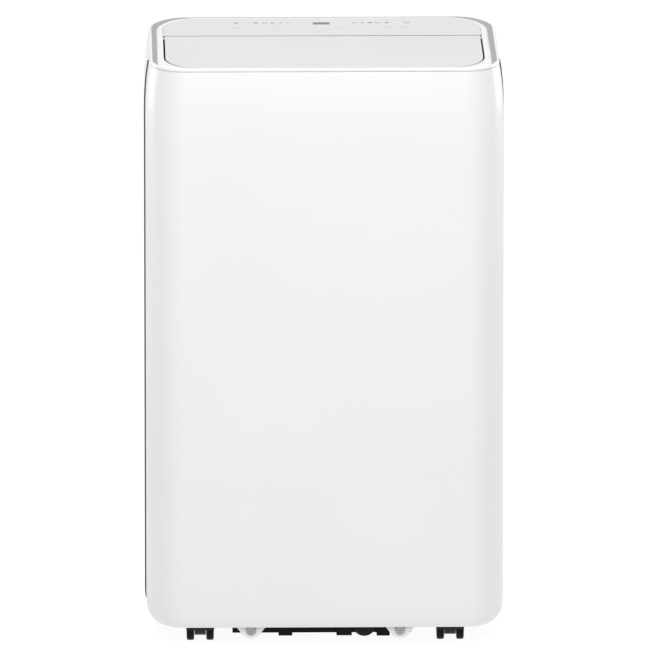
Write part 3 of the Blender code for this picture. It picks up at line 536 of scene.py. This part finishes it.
def rear_shell():
    heights = wall_heights()
    rings = [at_height(shell_rear(z, 0.0, SEAM_Y + 0.0010), z) for z in heights]
    shell = thicken(raw_object("rear_cover", loft(rings, False, False), WHITE))
    tools = []
    for name in ("upper_intake_grille", "lower_intake_grille"):
        low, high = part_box(name)
        edge = 0.0040 - 0.0004
        tools.append(
            box_mesh((low.x + edge, 0.185, low.z + 0.0040), (high.x - edge, 0.210, high.z - 0.0040))
        )
        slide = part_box(name.replace("intake_grille", "filter"))
        tools.append(
            box_mesh((0.150, slide[0].y - 0.001, slide[0].z - 0.004), (0.225, slide[1].y + 0.001, slide[1].z + 0.004))
        )
    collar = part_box("exhaust_grille")
    center_z = (collar[0].z + collar[1].z) / 2
    tools.append(rod_mesh((0.0, 0.197, center_z), 0.0750, 0.020, "Y", 96))
    for name in ("handle_left", "handle_right"):
        low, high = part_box(name)
        middle, half = (low + high) / 2, (high - low) / 2 + Vector((0.010, 0.0004, 0.0004))
        tools.append(box_mesh(middle - half, middle + half))
    for name, radius in (("cord_gland", 0.0095), ("rear_drain_plug", 0.0105)):
        low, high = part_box(name)
        tools.append(rod_mesh(((low.x + high.x) / 2, 0.197, (low.z + high.z) / 2), radius, 0.012, "Y", 40))
    for name in ("cord_hook_lower", "cord_hook_upper"):
        low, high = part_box(name)
        spare = Vector((0.0004, 0.010, 0.0004))
        tools.append(box_mesh(low - spare, high + spare))
    cut(shell, tools)
    bevel(shell, 0.0006)
    finish_piece(shell, "root", "white_shell", "rear_cabinet")


# ---------------------------------------------------------------- top

def rim_z(y, z):
    """Lowers the rim towards the rear, where it blends into the control panel."""
    t = min(max((y - 0.060) / 0.120, 0.0), 1.0)
    return z - RIM_DROP * t * t * (3.0 - 2.0 * t)


def top_rim():
    base, under = 0.7612, FLOOR_Z - 0.0028
    rim = (
        (0.0003, 0.7608), (0.0001, 0.7616), (0.0002, 0.7625), (0.0005, 0.7635), (0.0009, 0.7643),
        (0.0014, 0.76482), (0.0020, HEIGHT), (0.0026, HEIGHT), (0.0031, 0.76484), (0.0035, 0.7644),
    )
    rings = [at_height(shell_outline(base, 0.0038), 0.7500), at_height(shell_outline(base, 0.0038), 0.7608)]
    for inset, z in rim:
        rings.append([(x, y, max(rim_z(y, z), min(z, 0.7608))) for x, y in shell_outline(base, inset)])
    for inset, margin, z in (
        (0.0098, -0.0052, FLOOR_Z - 0.0006), (0.0102, -0.0049, FLOOR_Z - 0.0007),
        (0.0106, -0.0046, FLOOR_Z - 0.0004), (0.0111, -0.0042, FLOOR_Z - 0.0001),
    ):
        ring = []
        for (x, y), (ox, oy) in zip(shell_outline(base, inset), opening_outline(margin)):
            share = min(max((y - 0.100) / 0.080, 0.0), 1.0)
            ring.append((x + (ox - x) * share, y + (oy - y) * share, z))
        rings.append(ring)
    rings.append(at_height(opening_outline(-0.0009), FLOOR_Z))
    rings.append(at_height(opening_outline(-0.0001), FLOOR_Z - 0.0002))
    rings.append(at_height(opening_outline(0.0), FLOOR_Z - 0.0006))
    rings.append(at_height(opening_outline(0.0), under))
    rings.append(at_height(shell_outline(base, 0.0062), under))
    rings.append(at_height(shell_outline(base, 0.0062), 0.7500))
    bm = loft(rings, True, True)
    groove_row = 2 + len(rim) - 1
    bm.faces.ensure_lookup_table()
    # The groove's sloped faces take the darker colour: part own grey, part painted shade on the inward slope.
    for face in bm.faces[groove_row * len(rings[0]):(groove_row + 2) * len(rings[0])]:
        face.material_index = 1
    bmesh.ops.recalc_face_normals(bm, faces=bm.faces)
    cover = raw_object("top_rim_cover", bm, WHITE)
    cover.data.materials.append(GROOVE_GREY_AND_SHADE)
    joins, bores = [], []
    for side in (-1, 1):
        near, far = sorted((side * 0.2092, side * 0.2140))
        joins.append(box_mesh((near, HINGE.y - 0.0060, 0.7510), (far, HINGE.y + 0.0060, 0.7600)))
        bores.append(rod_mesh((side * 0.2105, HINGE.y, HINGE.z), 0.0024, 0.0052, "X", 24))
    cut(cover, joins, "UNION")
    cut(cover, bores)
    finish_piece(cover, "root", "white_shell", "top_cover")


def louver_flap():
    low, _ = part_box("louver_flap")
    rx, ry = OPEN_FRONT_CORNER
    outline = front_half(FLAP_HALF, low.y, (rx - 0.001, ry - 0.001), HINGE.y)
    under = FLOOR_Z - BARREL
    flap = raw_object("air_flap", prism(outline, under, FLOOR_Z), PANEL)
    barrel = rod_mesh((0.0, HINGE.y, HINGE.z), BARREL, 2 * FLAP_HALF, "X", 40)
    pins = rod_mesh((0.0, HINGE.y, HINGE.z), 0.0020, 2 * 0.2122, "X", 24)
    ribs = []
    for x in (-0.150, -0.075, 0.0, 0.075, 0.150):
        ribs.append(box_mesh((x - 0.0011, low.y + 0.030, under - 0.0050), (x + 0.0011, HINGE.y - 0.010, under + 0.001)))
    for y in (low.y + 0.0295, HINGE.y - 0.0110):
        ribs.append(box_mesh((-0.155, y, under - 0.0042), (0.155, y + 0.0022, under + 0.001)))
    cut(flap, [barrel, pins] + ribs, "UNION")
    bevel(flap, 0.0004)
    finish_piece(flap, "flap", "top_panel", "louver_flap")


def control_panel():
    low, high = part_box("control_panel")
    front = low.y
    half = high.x
    inner = [(x, y) for x, y in opening_outline(0.0004) if y > front + 0.0005]
    panel = raw_object(
        "touch_panel", prism([(half, front)] + inner + [(-half, front)], low.z, high.z), PANEL
    )
    window_low, window_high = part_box("display_window")
    spare = Vector((0.0004, 0.0004, 0.0003))
    cut(panel, [box_mesh(window_low - spare, window_high + spare + Vector((0, 0, 0.002)))])
    panel.data.materials.append(HINGE_GAP_SHADE)
    # The panel's front face, in the seam behind the flap, takes the painted shade.
    for face in panel.data.polygons:
        if face.normal.y < -0.9 and face.center.y < front + 0.001:
            face.material_index = 1
    bevel(panel, 0.0003)
    finish_piece(panel, "root", "top_panel", "control_panel")
    window = raw_object("smoked_display", box_mesh(window_low, window_high), DISPLAY)
    bevel(window, 0.0006, 3)
    finish_piece(window, "root", "display", "display_window")
    touch_symbols((window_low.y + window_high.y) / 2 + 0.003, high.z)


def ring_mark(bm, x, y, z, radius, width, gap_turn=0.0, opening=0.0):
    """A flat ring, or an arc when it has an opening, as a thin raised print."""
    steps = 20
    start, sweep = gap_turn + opening / 2, 2 * math.pi - opening
    inner, outer = [], []
    for k in range(steps + 1):
        angle = start + sweep * k / steps
        outer.append((x + radius * math.cos(angle), y + radius * math.sin(angle)))
        inner.append((x + (radius - width) * math.cos(angle), y + (radius - width) * math.sin(angle)))
    for k in range(steps):
        corners = (outer[k], outer[k + 1], inner[k + 1], inner[k])
        top = [bm.verts.new((*c, z + PRINT)) for c in corners]
        base = [bm.verts.new((*c, z)) for c in corners]
        bm.faces.new(top)
        bm.faces.new(base[::-1])
        for i in range(4):
            j = (i + 1) % 4
            bm.faces.new((base[i], base[j], top[j], top[i]))


def bar_mark(bm, x, y, z, length, width, turn=0.0):
    place = Matrix.Translation((x, y, z + PRINT / 2)) @ Matrix.Rotation(turn, 4, "Z")
    size = Matrix.Diagonal((length, width, PRINT, 1.0))
    bmesh.ops.create_cube(bm, size=1.0, matrix=place @ size)


def symbol(bm, kind, x, y, z):
    """A plain sign for one touch key: ring, cross, dots or bars."""
    if kind == "power":
        ring_mark(bm, x, y, z, 0.0036, 0.0010, math.pi / 2, 1.1)
        bar_mark(bm, x, y + 0.0026, z, 0.0010, 0.0034)
    elif kind == "ring":
        ring_mark(bm, x, y, z, 0.0032, 0.0010)
    elif kind == "plus":
        bar_mark(bm, x, y, z, 0.0052, 0.0012)
        bar_mark(bm, x, y, z, 0.0012, 0.0060)
    elif kind == "minus":
        bar_mark(bm, x, y, z, 0.0052, 0.0014)
    elif kind == "blades":
        for k in range(3):
            angle = 2 * math.pi * k / 3 + math.pi / 2
            ring_mark(bm, x + 0.0018 * math.cos(angle), y + 0.0018 * math.sin(angle), z, 0.0017, 0.0010)
    elif kind == "flakes":
        for k in range(3):
            bar_mark(bm, x, y, z, 0.0066, 0.0010, math.pi * k / 3)
    elif kind == "waves":
        for k in (-1, 0, 1):
            bar_mark(bm, x, y + 0.0022 * k, z, 0.0050, 0.0011, 0.2)
    else:
        ring_mark(bm, x, y, z, 0.0018, 0.0017)


def touch_symbols(row_y, z):
    """Two rows of printed marks on the touch panel, mirrored about its middle."""
    bm = bmesh.new()
    places = (0.043, 0.0535, 0.064, 0.074, 0.086, 0.112)
    left = ("minus", "dot", "flakes", "ring", "blades", "waves")
    right = ("plus", "dot", "blades", "ring", "waves", "power")
    for x, kind_left, kind_right in zip(places, left, right):
        symbol(bm, kind_left, -x, row_y, z)
        symbol(bm, kind_right, x, row_y, z)
    legends = bmesh.new()
    legend_y = row_y - 0.031
    for x, length in ((0.024, 0.011), (0.0585, 0.008), (0.086, 0.011), (0.110, 0.013)):
        for side in (-1, 1):
            bar_mark(legends, side * x, legend_y, z, length, 0.0011)
    for name, mesh, look in (("touch_symbols", bm, MARKS), ("touch_legends", legends, FAINT)):
        bmesh.ops.recalc_face_normals(mesh, faces=mesh.faces)
        piece = raw_object(name, mesh, look)
        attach(piece, "root")


# ---------------------------------------------------------------- rear grilles

def intake_grille(name):
    """Frame, slanted slats and four uprights, in place of the CAD grille's coarser slots."""
    low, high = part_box(name)
    border, front = 0.0105, low.y
    frame_piece = raw_object(f"{name}_frame", box_mesh((low.x, front, low.z), (high.x, 0.1954, high.z)), WHITE)
    inside_low = Vector((low.x + border, front - 0.01, low.z + border))
    inside_high = Vector((high.x - border, high.y + 0.01, high.z - border))
    raised = box_mesh((low.x + 0.0044, 0.1950, low.z + 0.0044), (high.x - 0.0044, high.y, high.z - 0.0044))
    cut(frame_piece, [raised], "UNION")
    cut(frame_piece, [box_mesh(inside_low, inside_high)])
    bevel(frame_piece, 0.0006)
    finish_piece(frame_piece, "root", "white_shell", name)
    bm = bmesh.new()
    count = round((inside_high.z - inside_low.z) / 0.0068)
    pitch = (inside_high.z - inside_low.z) / count
    for k in range(count):
        z = inside_low.z + (k + 0.5) * pitch
        place = Matrix.Translation((0.0, 0.1962, z)) @ Matrix.Rotation(math.radians(-28), 4, "X")
        size = Matrix.Diagonal((inside_high.x - inside_low.x + 0.001, 0.0036, 0.0016, 1.0))
        bmesh.ops.create_cube(bm, size=1.0, matrix=place @ size)
    for x in (-0.087, -0.029, 0.029, 0.087):
        box_mesh((x - 0.0011, 0.1935, inside_low.z - 0.0004), (x + 0.0011, 0.1958, inside_high.z + 0.0004), bm)
    slats = raw_object(f"{name}_slats", bm, WHITE)
    bevel(slats, 0.0004)
    finish_piece(slats, "root", "white_shell", name)


# ---------------------------------------------------------------- casters

def caster_wheels():
    """Round treads with a shallow dish and a hub cap on the outer face."""
    for row in ("front", "rear"):
        for side in ("left", "right"):
            for end, away in (("left", -1), ("right", 1)):
                node = f"caster_wheel_{row}_{side}_{end}"
                low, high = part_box(node)
                center, half = (low + high) / 2, (high.x - low.x) / 2
                radius = (high.z - low.z) / 2
                profile = (
                    (0.0036, -half), (radius * 0.80, -half), (radius - 0.0012, -half + 0.0003),
                    (radius - 0.0003, -half + 0.0011), (radius, -half + 0.0022),
                    (radius, half - 0.0022), (radius - 0.0003, half - 0.0011), (radius - 0.0012, half - 0.0003),
                    (radius * 0.80, half), (radius * 0.77, half - 0.0009), (radius * 0.50, half - 0.0011),
                    (radius * 0.47, half - 0.0002), (radius * 0.42, half), (0.0036, half),
                )
                profile = [(r, away * along) for r, along in profile]
                wheel = raw_object(f"{node}_tread", turned(center, "X", profile, 64), NYLON)
                finish_piece(wheel, f"wheels_{row}_{side}", "caster_wheel", node)


def caster_fenders():
    """The hood of each caster: an arch over both wheels that turns with the fork."""
    for row in ("front", "rear"):
        for side in ("left", "right"):
            low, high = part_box(f"caster_wheel_{row}_{side}_left")
            far_low, far_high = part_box(f"caster_wheel_{row}_{side}_right")
            axle_y, axle_z = (low.y + high.y) / 2, (low.z + high.z) / 2
            radius = (high.z - low.z) / 2
            outer = arc(axle_y, axle_z, radius + 0.0019, radius + 0.0019, 2, 176, 28)
            inner = arc(axle_y, axle_z, radius + 0.0006, radius + 0.0006, 178, -176, 28)
            bm = bmesh.new()
            rings = [[bm.verts.new((x, y, z)) for y, z in outer + inner] for x in (low.x - 0.0002, far_high.x + 0.0002)]
            count = len(rings[0])
            for k in range(count):
                j = (k + 1) % count
                bm.faces.new((rings[0][k], rings[0][j], rings[1][j], rings[1][k]))
            bm.faces.new(rings[0])
            bm.faces.new(rings[1])
            bmesh.ops.recalc_face_normals(bm, faces=bm.faces)
            fender = raw_object(f"caster_fender_{row}_{side}", bm, HOOD)
            bevel(fender, 0.0003)
            finish_piece(fender, f"swivel_{row}_{side}", "black_trim")


# ---------------------------------------------------------------- coils

def coil_fins(name):
    """Upright fins with a frame plate at each end and straight tubes running through them."""
    low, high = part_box(name)
    fins = bmesh.new()
    inset, pitch = 0.0085, 0.0030
    count = int((high.x - low.x - 2 * inset) / pitch)
    for k in range(count):
        x = low.x + inset + (k + 0.5) * pitch
        box_mesh((x - 0.00025, low.y + 0.001, low.z + 0.001), (x + 0.00025, high.y - 0.001, high.z - 0.001), fins)
    finish_piece(raw_object(f"{name}_fins", fins, FINS), "root", "coil", name)
    plates = bmesh.new()
    for x in (low.x + 0.0075, high.x - 0.0085):
        box_mesh((x, low.y, low.z), (x + 0.0010, high.y, high.z), plates)
    frame_piece = raw_object(f"{name}_end_plates", plates, SHEET)
    finish_piece(frame_piece, "root", "motor_steel", name)
    tubes = bmesh.new()
    rows = int((high.z - low.z - 0.020) / 0.021)
    middle = (low.x + high.x) / 2
    for k in range(rows):
        z = low.z + 0.014 + k * 0.021
        for y in (low.y + 0.009, high.y - 0.009):
            rod_mesh((middle, y, z), 0.0035, high.x - low.x - 0.008, "X", 12, tubes)
    tube_piece = raw_object(f"{name}_tubes", tubes, COPPER)
    finish_piece(tube_piece, "root", "copper_pipe", name)


# ---------------------------------------------------------------- pieces kept from the CAD

EDGE_WIDTHS = {
    "base_pan": 0.0008, "outlet_grille": 0.0003, "outlet_frame": 0.0006, "handle_left": 0.0007,
    "handle_right": 0.0007, "exhaust_collar": 0.0005, "exhaust_grille": 0.0003, "cord_hook_upper": 0.0006,
    "cord_hook_lower": 0.0006, "cord_gland": 0.0005, "rear_drain_plug": 0.0006, "bottom_drain_cap": 0.0007,
    "electric_box": 0.0010, "drain_tray": 0.0008,
}


def dress_cad_nodes():
    slots = {row["node"]: row["material_slot"] for row in frame["record"]["subparts"]}
    for name, node in frame["nodes"].items():
        if node.hide_render:
            continue
        look = SLOT_LOOKS[slots[name]]
        if name.startswith("caster_fork"):
            look = HOOD
        node.data.materials.clear()
        node.data.materials.append(look)
        node.data.shade_smooth()
        weld = node.modifiers.new("weld", "WELD")
        weld.merge_threshold = 0.00001
        bevel(node, EDGE_WIDTHS.get(name, 0.0004), 2, 30.0)


# ---------------------------------------------------------------- stage, light and camera

def studio():
    bm = bmesh.new()
    bmesh.ops.create_grid(bm, x_segments=1, y_segments=1, size=120.0)
    paper, tree, shader = new_material("studio_floor", (0.12, 0.12, 0.12), 0.9)
    shader.inputs["Emission Color"].default_value = (1.0, 1.0, 1.0, 1.0)
    seen = add_node(tree, "ShaderNodeLightPath").outputs["Is Camera Ray"]
    glow = add_node(tree, "ShaderNodeMapRange", [("Value", seen)])
    glow.inputs["To Min"].default_value, glow.inputs["To Max"].default_value = FLOOR_GLOW, FLOOR_SEEN
    tree.links.new(glow.outputs["Result"], shader.inputs["Emission Strength"])
    shader.inputs["Specular IOR Level"].default_value = 0.1
    floor = raw_object("studio_floor", bm, paper)

    world = bpy.data.worlds.new("soft_surround")
    bpy.context.scene.world = world
    world.use_nodes = True
    background = world.node_tree.nodes["Background"]
    background.inputs["Color"].default_value = (1.0, 1.0, 1.0, 1.0)
    background.inputs["Strength"].default_value = SURROUND

    for name, place, target, size, power in (
        ("front_softbox", (0.0, -2.4, 2.2), (0.0, 0.0, 0.50), 2.0, 34.0),
        ("top_softbox", (0.0, 0.3, 3.6), (0.0, 0.0, 0.75), 2.6, 63.0),
        ("left_softbox", (-3.6, 3.4, 0.7), (0.0, 0.0, 0.30), 2.0, 48.0),
        ("right_softbox", (3.6, 3.4, 0.7), (0.0, 0.0, 0.30), 2.0, 48.0),
    ):
        light = bpy.data.lights.new(name, "AREA")
        light.shape = "SQUARE"
        light.size = size
        light.energy = power
        lamp = bpy.data.objects.new(name, light)
        lamp.location = place
        lamp.rotation_euler = (Vector(place) - Vector(target)).to_track_quat("Z", "Y").to_euler()
        lamp.visible_camera = False
        bpy.context.scene.collection.objects.link(lamp)


def camera():
    azimuth, elevation = math.radians(AZIMUTH), math.radians(ELEVATION)
    aim = Vector(AIM)
    back = Vector((
        math.sin(azimuth) * math.cos(elevation), -math.cos(azimuth) * math.cos(elevation), math.sin(elevation),
    ))
    lens = bpy.data.cameras.new("photo_camera")
    lens.lens, lens.sensor_width = FOCAL_LENGTH, 36.0
    lens.clip_start, lens.clip_end = 0.5, 500.0
    view = bpy.data.objects.new("photo_camera", lens)
    view.location = aim + back * DISTANCE
    view.rotation_euler = back.to_track_quat("Z", "Y").to_euler()
    bpy.context.scene.collection.objects.link(view)
    bpy.context.scene.camera = view


front_shell()
tabs()
seam_shadow_strip()
rear_shell()
top_rim()
louver_flap()
control_panel()
for grille_name in ("upper_intake_grille", "lower_intake_grille"):
    intake_grille(grille_name)
for coil_name in ("evaporator_coil", "condenser_coil"):
    coil_fins(coil_name)
caster_wheels()
caster_fenders()
dress_cad_nodes()
studio()
camera()
bpy.context.scene.view_settings.view_transform = "Standard"
